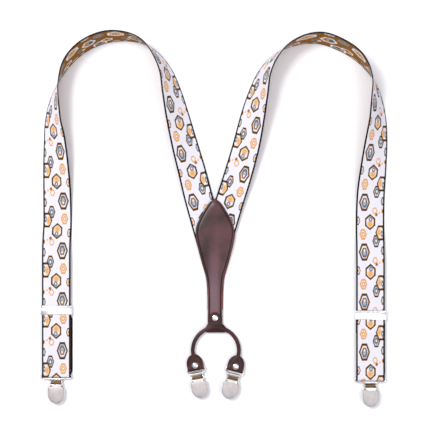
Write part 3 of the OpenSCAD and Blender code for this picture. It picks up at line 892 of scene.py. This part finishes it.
def stitch_run(path, pitch, length, radius):
    """Stitches along a path: short threads, pulled in at both ends."""
    parts = []
    travelled, next_at = 0.0, pitch / 2
    for a, b in zip(path, path[1:]):
        step = (b - a).length
        while step > 0 and travelled + step > next_at:
            middle = a.lerp(b, (next_at - travelled) / step)
            turn = (b - a).to_track_quat("X", "Z").to_matrix().to_4x4()
            stitch = bmesh.new()
            bmesh.ops.create_uvsphere(stitch, u_segments=6, v_segments=6, radius=1)
            scale = Matrix.Diagonal((length / 2, radius, radius, 1))
            parts.append(placed(stitch, Matrix.Translation(middle) @ turn @ scale))
            next_at += pitch
        travelled += step
    return joined(*parts)


def arch_point(angle, outwards, height):
    """A place by the arch: angle from the +x side, distance outwards from the cord's line, and height."""
    reach = arch_r + outwards
    return Vector((arch_at.x + reach * math.cos(angle), arch_at.y + reach * math.sin(angle), height))


def make_loop_tab(leather, raw_edge):
    """One strip: front leaf with a round top, wrapped round the cord, and back up behind the stem."""
    sheet_t = 0.001
    leaf_z = stem_top + 0.0001 + 0.0006 + sheet_t / 2
    rear_z = 0.00065
    leaf_r = 0.007
    sweep = math.asin(sleeve_half / arch_r)
    wrap_r = cord_r + 0.0001 + sheet_t / 2

    def leaf_half(y):
        if y > rivet_at.y:
            return math.sqrt(max(0, leaf_r ** 2 - (y - rivet_at.y) ** 2))
        return leaf_r + 0.0009 * ease(rivet_at.y, rivet_at.y - 0.006, y)

    leaf_ys = [rivet_at.y + leaf_r * math.cos(math.radians(a)) for a in range(0, 90, 5)]
    leaf_ys += [rivet_at.y - 0.0004 * k for k in range(0, 15)]
    wrap_angles = [math.radians(62 + 238 * k / 26) for k in range(27)]
    blend_rows = 6
    front_count = len(leaf_ys)
    wrap_start = front_count + blend_rows
    rear_start = wrap_start + len(wrap_angles) + blend_rows
    rear_ys = leaf_ys[::-1]
    rows = rear_start + len(rear_ys)

    def leaf_row(u, y, z):
        x = patch_x + u * leaf_half(y)
        away = math.hypot(x - rivet_at.x, y - rivet_at.y)
        return Vector((x, y, z - 0.00024 * dip(away - 0.0053, 0.0004)))

    fold_y = arch_point(math.pi / 2 - sweep, -wrap_r, 0).y

    def wrap_row(u, angle):
        round_arch = math.pi / 2 - u * sweep
        spot = arch_point(round_arch, wrap_r * math.cos(angle), arch_z + wrap_r * math.sin(angle))
        slack = arch_point(round_arch, -wrap_r, 0).y - fold_y
        spot.y -= slack * ease(0.2, 1, -math.cos(angle))
        return spot

    def between(a, b, share, rise):
        flat = a.lerp(b, share)
        return Vector((flat.x, flat.y, a.z + (b.z - a.z) * rise))

    def point(share_across, share_along):
        u = 2 * share_across - 1
        k = round(share_along * (rows - 1))
        if k < front_count:
            return leaf_row(u, leaf_ys[k], leaf_z)
        if k < wrap_start:
            share = (k - front_count + 1) / (blend_rows + 1)
            leaf_end = leaf_row(u, leaf_ys[-1], leaf_z)
            return between(leaf_end, wrap_row(u, wrap_angles[0]), share, share ** 1.3)
        if k < wrap_start + len(wrap_angles):
            return wrap_row(u, wrap_angles[k - wrap_start])
        if k < rear_start:
            share = (k - wrap_start - len(wrap_angles) + 1) / (blend_rows + 1)
            rear_end = leaf_row(u, rear_ys[0], rear_z)
            return between(wrap_row(u, wrap_angles[-1]), rear_end, share, share)
        return leaf_row(u, rear_ys[k - rear_start], rear_z)

    bm = loft(point, rows - 1, 36)
    bmesh.ops.recalc_face_normals(bm, faces=bm.faces)
    obj = build("loop_tab_strip", bm, [leather, raw_edge], "root", ["loop_tab"])
    thicken(obj, sheet_t, 0.00025, rim=1)


def make_cord(leather):
    """Rolled leather cord with its closing seam along the inside of the arch."""
    seam_at = math.radians(118)

    def point(share_around, share_along):
        turn = math.tau * share_around
        off = math.remainder(turn - seam_at, math.tau)
        radius = cord_r - 0.00028 * dip(off, 0.13)
        angle = arch_from - 0.12 + (arch_to - arch_from + 0.24) * share_along
        return arch_point(angle, radius * math.cos(turn), arch_z + radius * math.sin(turn))

    bm = loft(point, 120, 30)
    close_ends(bm)
    build("rolled_cord", bm, [leather], "cord_end", ["cord"])


def bar_frame(name):
    """The place and turn of a clip's bar: x along the bar, the clip's tip towards -y."""
    at = pivot(name + "_clip_swing")
    way = Vector(joints[name + "_clip_swing"]["axis"]) * -1
    return Matrix.Translation((at.x, at.y, 0)) @ Matrix.Rotation(math.atan2(way.y, way.x), 4, "Z")


def make_cord_tab(side, leather, raw_edge, thread):
    """Leather folded round the clip's bar, closed over the cord's end."""
    half_w = tab_w / 2
    outline = smooth([(half_w, 0), (half_w, 0.36 * tab_len), (0.9 * half_w, 0.64 * tab_len),
                      (0.61 * half_w, 0.89 * tab_len), (0.34 * half_w, tab_len)], 6)
    fold = 0.0025
    stations = [(half_w, -fold * math.cos(math.radians(a))) for a in range(0, 90, 9)]
    stations += [(w, y) for w, y in outline]
    offsets = [0, 0.00012, 0.0004, 0.0009, 0.0013, 0.0016, 0.0019, 0.0024, 0.0034, 0.0048]
    per_face = 2 * len(offsets) + 1
    columns = 2 * per_face + 2
    groove_at = 0.0016

    def point(share_around, share_along):
        k = round(share_along * (len(stations) - 1))
        column = round(share_around * columns) % columns
        half, y = stations[k]
        if y < 0:
            rim = mid = math.sqrt(max(0, fold * fold - y * y))
        else:
            rim = 0.0013 + (fold - 0.0013) * (1 - ease(0, 0.006, y))
            mid = fold + 0.00015
        lower = column > per_face
        place = column if not lower else column - per_face - 1
        if place == per_face:
            pinch = 0.0002 if y > 0.003 else 0
            return Vector(((half - pinch) * (1 if not lower else -1), y, arch_z))
        inset_index = min(place, per_face - 1 - place)
        squeeze = min(1, half / 0.0056)
        if place == per_face // 2:
            x, inset = 0, half
        else:
            inset = offsets[inset_index] * squeeze
            x = (half - inset) * (1 if place > per_face // 2 else -1)
        if lower:
            x = -x
        share = ease(0, half * 0.85, inset)
        height = rim + (mid - rim) * share - 0.0003 * (1 - min(1, inset / 0.0006)) ** 2
        if y > 0.001:
            height -= 0.00022 * dip(inset - groove_at, 0.0003)
        return Vector((x, y, arch_z + (-height if lower else height)))

    bm = loft(point, len(stations) - 1, columns)
    close_ends(bm)
    mark_edges(bm, steeper_than=0.3)
    for face in bm.faces:
        if face.calc_center_median().y < 0.0005:
            face.material_index = 0
    matrix = bar_frame("back_" + side)
    build(side + "_cord_tab_leather", placed(bm, matrix), [leather, raw_edge], "cord_end",
          [side + "_cord_tab"], 50)
    runs = []
    for sign in (-1, 1):
        run = [Vector((sign * (w - groove_at), y, arch_z + 0.0018))
               for w, y in outline if 0.0045 < y < tab_len * 0.93]
        runs.append(stitch_run(run, 0.0023, 0.0018, 0.0002))
    build(side + "_tab_stitching", placed(joined(*runs), matrix), [thread], "cord_end")


# ---------------------------------------------------------------- metal

def metal_material(name, colour, roughness, spread, bump_height, stretch=(1, 1, 1)):
    made, tree, shader = new_material(name, Metallic=1.0)
    where = object_place(tree)
    marks = use_group(tree, handling_marks, {"Vector": where, "Stretch": stretch, "Strength": spread})
    feed(tree, shader.inputs["Roughness"], calc(tree, "ADD", marks["Roughness"], roughness))
    dull = [c * 0.86 for c in colour[:3]] + [1]
    colour_by(tree, shader, marks["Smudge"], [(0.35, dull), (0.6, colour)])
    bump(tree, shader, marks["Height"], bump_height)
    return made


def rivet_solid(radius, rim_z, foot_z, foot_t):
    """Domed cap with a rolled rim, its post and its foot."""
    dome = 0.0012
    open_to = math.radians(75)
    profile = []
    for degrees in range(0, 76, 5):
        turn = math.radians(degrees)
        rise = (math.cos(turn) - math.cos(open_to)) / (1 - math.cos(open_to))
        profile.append((radius * math.sin(turn) / math.sin(open_to), rim_z + dome * rise))
    profile += [(radius + 0.0001, rim_z - 0.00012), (radius - 0.0001, rim_z - 0.0003),
                (radius - 0.0006, rim_z - 0.0002), (0.0012, rim_z - 0.0001),
                (0.0012, foot_z + foot_t), (radius - 0.0009, foot_z + foot_t),
                (radius - 0.0006, foot_z + foot_t * 0.7), (radius - 0.0006, foot_z + 0.0001),
                (radius - 0.0008, foot_z), (0, foot_z)]
    return spun(profile)


def make_rivets(nickel):
    cap = rivet_solid(stem_rivet_r, stem_top + 0.0013, 0.0, 0.0007)
    build("stem_rivet", placed(cap, Matrix.Translation(rivet_at)), [nickel], "root",
          ["loop_rivet"])
    for side in sides:
        cap = rivet_solid(tab_rivet_r, arch_z + 0.0026, 0.0002, 0.0008)
        matrix = bar_frame("back_" + side) @ Matrix.Translation((0, 0.0041, 0))
        build(side + "_tab_rivet", placed(cap, matrix), [nickel], "cord_end",
              [side + "_cord_rivet"])


def rounded_loop(corners, radius):
    """A closed flat path with its corners rounded."""
    path = []
    steps = 5
    for k, place in enumerate(corners):
        corner = Vector(place)
        back = Vector(corners[k - 1]) - corner
        ahead = Vector(corners[(k + 1) % len(corners)]) - corner
        cut = min(radius, back.length * 0.45, ahead.length * 0.45)
        a = corner + back.normalized() * cut
        b = corner + ahead.normalized() * cut
        for n in range(steps + 1):
            t = n / steps
            path.append(a * (1 - t) ** 2 + corner * 2 * t * (1 - t) + b * t ** 2)
    return path


def wire_loop(path, radius, z):
    """Round wire along a closed flat path at one height."""
    count = len(path)

    def point(share_around, share_along):
        k = round(share_along * count) % count
        way = (path[(k + 1) % count] - path[k - 1]).normalized()
        out = Vector((way.y, -way.x))
        turn = math.tau * share_around
        spot = path[k] + out * radius * math.cos(turn)
        return Vector((spot.x, spot.y, z + radius * math.sin(turn)))

    bm = loft(point, count, 12)
    bmesh.ops.recalc_face_normals(bm, faces=bm.faces)
    return bm


def rod(radius, half_len, y, z, round_end=0.00025):
    """A bar across x with rounded ends."""
    corner = round_end * 0.3
    profile = [(0, -half_len), (radius - round_end, -half_len), (radius - corner, -half_len + corner),
               (radius, -half_len + round_end), (radius, half_len - round_end),
               (radius - corner, half_len - corner), (radius - round_end, half_len), (0, half_len)]
    matrix = Matrix.Translation((0, y, z)) @ Matrix.Rotation(math.pi / 2, 4, "Y")
    return placed(spun(profile, 24), matrix)


def tongue_half_at(u, start, end):
    """Half width of the tongue: round shoulders, straight sides, elliptical tip."""
    shoulder, tip = 0.003, 0.011
    if u <= start + shoulder:
        rise = max(0, shoulder - (u - start))
        return tongue_half - shoulder + math.sqrt(max(0, shoulder ** 2 - rise ** 2))
    if u >= end - tip:
        return tongue_half * math.sqrt(max(0, 1 - ((u - end + tip) / tip) ** 2))
    return tongue_half


def tongue_ring(start, end):
    """Closed outline of the tongue from its shoulders round the tip, evenly turned."""
    middle = (start + end) / 2
    ring = []
    for k in range(72):
        angle = math.tau * k / 72
        way = Vector((math.sin(angle), math.cos(angle)))
        low, high = 0.0, 0.02
        for _ in range(24):
            reach = (low + high) / 2
            u = middle + way.y * reach
            inside = start <= u <= end and abs(way.x * reach) <= tongue_half_at(u, start, end)
            low, high = (reach, high) if inside else (low, reach)
        ring.append(way * low)
    return ring, middle


def flat_sheet(path, half_at, thickness, columns=10, edge_round=0.0002):
    """Sheet metal over a path of distances and heights, with its half width at each distance."""
    def point(share_across, share_along):
        u, z = path[round(share_along * (len(path) - 1))]
        return Vector(((2 * share_across - 1) * half_at(u, share_along), -u, z))

    bm = loft(point, len(path) - 1, columns)
    bmesh.ops.recalc_face_normals(bm, faces=bm.faces)
    obj = build("sheet", bm, [])
    thicken(obj, thickness, edge_round)
    bm = bmesh.new()
    bm.from_mesh(obj.data)
    bpy.data.objects.remove(obj)
    return bm


def arc(cu, cz, radius, start, end, steps):
    """Points of an arc in the plane of distances and heights, by degrees from the tip's direction."""
    turns = [math.radians(start + (end - start) * k / steps) for k in range(steps + 1)]
    return [(cu + radius * math.cos(t), cz + radius * math.sin(t)) for t in turns]


def make_clip(name, nickel, satin, bronze, rubber):
    """Ring, folded base, lugs, cover with its cam, sprung leaf, pads and pin of one clip."""
    ring = rings[name.split("_")[0]]
    bar = pivot(name + "_clip_swing")
    pin = pivot(name + "_lever_hinge")
    tail = pivot(name + "_jaw_hinge")
    matrix = bar_frame(name)
    pin_u = math.hypot(pin.x - bar.x, pin.y - bar.y)
    tail_u = math.hypot(tail.x - bar.x, tail.y - bar.y)
    start = pin_u + 0.0018
    end = start + tongue_len
    half = ring["half"]
    depth = ring["depth"]
    bz = bar.z
    base_t = 0.0009

    def add(label, bm, material, slot, body, stands_for=None, smooth_below=40):
        nodes = [name + "_clip_" + stands_for] if stands_for else []
        build(name + "_clip_" + label, placed(bm, matrix), [material], name + body, nodes,
              smooth_below)

    corners = [(-half, 0.0), (half, 0.0), (half, -ring["side"]), (ring["foot"], -depth),
               (-ring["foot"], -depth), (-half, -ring["side"])]
    ring_wire = joined(wire_loop(rounded_loop(corners, 0.0018), wire_r, bz),
                       rod(bar_r, half - 0.0004, 0, bz))
    add("ring", ring_wire, nickel, "bright_nickel", "_clip")

    curl = arc(depth, bz, wire_r + base_t / 2, 250, 75, 14)
    fall = [(depth + 0.0016, bz + 0.0010), (depth + 0.0027, bz + 0.0001),
            (depth + 0.0038, (bz + 0.0006) / 2 + 0.0002), (depth + 0.0048, 0.0007), (start, 0.0005)]
    fall = smooth([curl[-1]] + fall, 5)[1:]
    flat = [(start + (end - start) * math.sin(math.pi / 2 * k / 26), 0.0005) for k in range(1, 27)]
    path = curl + [tuple(p) for p in fall] + flat
    first_flat = (len(path) - len(flat) - 1) / (len(path) - 1)

    def base_half(u, share):
        if share > first_flat:
            return tongue_half_at(u, start, end)
        return neck_half - 0.0011 * ease(start - 0.002, start, u) if share > 0.3 else neck_half

    base = flat_sheet(path, base_half, base_t)
    lug_outline = [(tail_u - 0.0013, 0.0006)] + arc(tail_u, tail.z, 0.0013, 180, 70, 5)
    lug_outline += arc(pin_u, pin.z, 0.0015, 150, 0, 9) + [(pin_u + 0.0015, 0.0006)]
    lugs = plate_pair(lug_outline, lug_t / 2, 0.00018, lug_x + lug_t / 2)
    add("base", joined(base, *lugs), nickel, "bright_nickel", "_clip", "frame")

    outline, middle = tongue_ring(start, end)
    top = pin.z + 0.0011
    # The cover's section: share of its outline, and height, from the crown round to the hollow side
    section = [(0, 0.0007), (0.25, 0.00068), (0.5, 0.0006), (0.7, 0.00047), (0.83, 0.0003),
               (0.92, 0.0001), (0.965, -0.0001), (0.99, -0.00035), (1.0, -0.0007), (1.0, -0.0024),
               (0.985, -0.00255), (0.94, -0.00255), (0.925, -0.0024), (0.92, -0.0010),
               (0.88, -0.0007), (0.5, -0.0003), (0, -0.0002)]

    def cover_point(share_around, share_along):
        k = round(share_around * len(outline)) % len(outline)
        scale, drop = section[round(share_along * (len(section) - 1))]
        x, u = outline[k] * scale
        return Vector((x, -(middle + u), top + drop))

    cover = loft(cover_point, len(section) - 1, len(outline))
    bmesh.ops.recalc_face_normals(cover, faces=cover.faces)
    add("cover", cover, satin, "satin_nickel", "_clip_tongue", "lever", 60)

    hinge_half = lug_x - 0.0004
    curl_r = 0.0010
    strip = [(start + 0.0012, top - 0.0003), (start + 0.0004, top - 0.0003),
             (pin_u + 0.0009, top - 0.0001)]
    curl_path = strip + arc(pin_u, pin.z, curl_r, 75, 330, 18)
    hinge_curl = flat_sheet(curl_path, lambda u, _: hinge_half, 0.0004, 6, 0.0001)
    cam_outline = arc(pin_u, pin.z, curl_r, 200, -20, 10)
    cam_outline += arc(pin_u, pin.z - 0.0014, 0.00048, -10, -170, 8)
    cam = soften(across(cam_outline, hinge_half - 0.001), 0.0001)
    add("hinge_curl", joined(hinge_curl, cam), nickel, "bright_nickel", "_clip_tongue")

    leaf_z = tail.z - 0.00005
    pad_from = pin_u + 0.010
    pad_to = pin_u + 0.0195
    pad_half = 0.0072
    leaf_path = arc(tail_u, tail.z, 0.00055, 200, 60, 8)
    leaf_path += [(tail_u + 0.0012, leaf_z + 0.0001)]
    leaf_path += [(tail_u + 0.0018 + (pad_to - tail_u - 0.0018) * k / 26, leaf_z) for k in range(27)]

    def leaf_half(u, _):
        return hinge_half + (pad_half - hinge_half) * ease(pad_from - 0.003, pad_from, u)

    leaf = flat_sheet(leaf_path, leaf_half, 0.0006, 8, 0.00012)
    leaf_rod = rod(0.0005, lug_x + lug_t, -tail_u, tail.z)
    add("leaf_spring", joined(leaf, leaf_rod), bronze, "bronze_leaf", "_clip_leaf", "jaw")

    ribs = 7
    rib = (pad_to - pad_from) / ribs
    # Each pad: name, body, height of its flat side and of its grip, and which way the grip faces
    pads = [("jaw_pad", "_clip_leaf", 0.0038, 0.00255, -1), ("back_pad", "_clip", 0.0010, 0.00225, 1)]
    for pad, body, flat_z, grip_z, up in pads:
        tooth_z = grip_z - up * 0.00025
        pad_outline = [(pad_from, flat_z), (pad_from, grip_z)]
        for k in range(ribs):
            foot_u = pad_from + rib * (k + 0.15)
            pad_outline += [(foot_u, grip_z), (foot_u + rib * 0.1, tooth_z),
                            (foot_u + rib * 0.6, tooth_z), (foot_u + rib * 0.7, grip_z)]
        pad_outline += [(pad_to, grip_z), (pad_to, flat_z)]
        add(pad + "_rubber", soften(across(pad_outline, pad_half), 0.00008, 1), rubber, "grip_pad",
            body, pad)

    hinge_pin = rod(0.0008, lug_x + lug_t + 0.0004, -pin_u, pin.z, 0.0004)
    add("hinge_pin", hinge_pin, nickel, "bright_nickel", "_clip", "pin")


def make_buckle(side, nickel):
    """Flat hinged cover, its side walls with ears, bed plate and bars."""
    pin = pivot(side + "_adjuster_cover_hinge")
    matrix = Matrix.Translation((pin.x, pin.y - lid_hinge_y, 0))
    pin_u = -lid_hinge_y
    cover_z = 0.0056

    def add(label, bm, body, stands_for):
        build(side + "_buckle_" + label, placed(bm, matrix), [nickel], side + body,
              [side + "_adjuster_" + stands_for])

    plate_outline = [(buckle_half_len, cover_z), (buckle_half_len, cover_z + 0.0006)]
    plate_outline += arc(buckle_half_len - 0.0005, cover_z + 0.0005, 0.0005, 20, 90, 4)
    plate_outline += [(-0.0024, cover_z + 0.0010), (-0.0024, cover_z)]
    plate = soften(across(plate_outline, cover_half), 0.0003)
    roll_path = [(-0.0016, cover_z + 0.0005), (-0.0030, cover_z + 0.0004)]
    roll_path += arc(pin_u, pin.z, 0.0010, -75, -345, 18)
    roll = flat_sheet(roll_path, lambda u, _: wall_x - 0.0003, 0.0005, 8, 0.00012)
    teeth = []
    for u in (0.0034, 0.0024, 0.0014):
        low = cover_z - 0.0002
        high = cover_z + 0.0003
        tooth = across([(u - 0.0002, low), (u + 0.0002, low), (u + 0.0002, high), (u - 0.0002, high)], 0.014)
        teeth.append(soften(tooth, 0.00006, 1))
    add("cover", joined(plate, roll, *teeth), "_adjuster_lid", "cover")

    wall_outline = [(buckle_half_len, 0.0002), (buckle_half_len, 0.0053), (pin_u + 0.0015, 0.0053)]
    wall_outline += arc(pin_u, pin.z, 0.0015, 0, 180, 12)
    wall_outline += [(-buckle_half_len, 0.0052), (-buckle_half_len, 0.0002)]
    walls = plate_pair(wall_outline, 0.0005, 0.0002, wall_x + 0.0005)
    end_bar = rod(end_bar_r, wall_x + 0.0005, end_bar_y, web_t + hem_in)
    bed = [(0.0009, 0.0026), (0.0009, 0.0038), (-0.00545, 0.0038), (-0.00545, 0.0026)]
    bed_plate = soften(across(bed, wall_x + 0.0003), 0.0002)
    add("frame", joined(*walls, end_bar, bed_plate), "_adjuster", "frame")
    add("pin", rod(0.0006, wall_x + 0.0012, lid_hinge_y, pin.z, 0.0003), "_adjuster", "pin")


# ---------------------------------------------------------------- the whole piece

set_the_stage()
# The patch leather carries a painted highlight down the middle of its stem.
dark_leather = leather_material("waxed_brown_leather", tint("35191A"), tint("5C3436"), 0.36, 0.3,
                                painted_highlight=tint("7A5C66"))
tab_leather = leather_material("dark_tab_leather", tint("280D09"), tint("4C211C"), 0.45, 0.04)
cord_leather = leather_material("rolled_cord_leather", tint("2C0F0C"), tint("522624"), 0.38, 0.08, 1.3)
# Darker leather for the seam's groove: painted shade in the recess.
seam_groove_shade = leather_material("seam_groove_painted_shade", tint("1A0A09"), tint("2E1514"), 0.5, 0.0)
raw_edge = grained_material("burnished_edge", 0.6, 1.6, "6B2C20", "B8553A", 0.0001)
thread = thread_material()
bright_nickel = metal_material("bright_nickel", (0.86, 0.84, 0.82, 1), 0.08, 0.1, 0.000004)
plate_nickel = metal_material("polished_plate", (0.95, 0.94, 0.94, 1), 0.1, 0.12, 0.000004, (0.15, 1, 1))
satin_nickel = metal_material("satin_nickel", (0.60, 0.56, 0.55, 1), 0.40, 0.2, 0.00003)
bronze = metal_material("bronze_spring", (0.30, 0.19, 0.10, 1), 0.2, 0.2, 0.000006, (1, 0.15, 1))
rubber = grained_material("grip_rubber", 0.75, 2.0, "17171A", "2A2A2E", 0.00005)

for side in sides:
    make_buckle(side, plate_nickel)
for clip_name in clip_names:
    make_clip(clip_name, bright_nickel, satin_nickel, bronze, rubber)
make_straps(thread)
make_patch(dark_leather, raw_edge, seam_groove_shade, thread)
make_loop_tab(tab_leather, raw_edge)
make_cord(cord_leather)
for side in sides:
    make_cord_tab(side, tab_leather, raw_edge, thread)
make_rivets(bright_nickel)
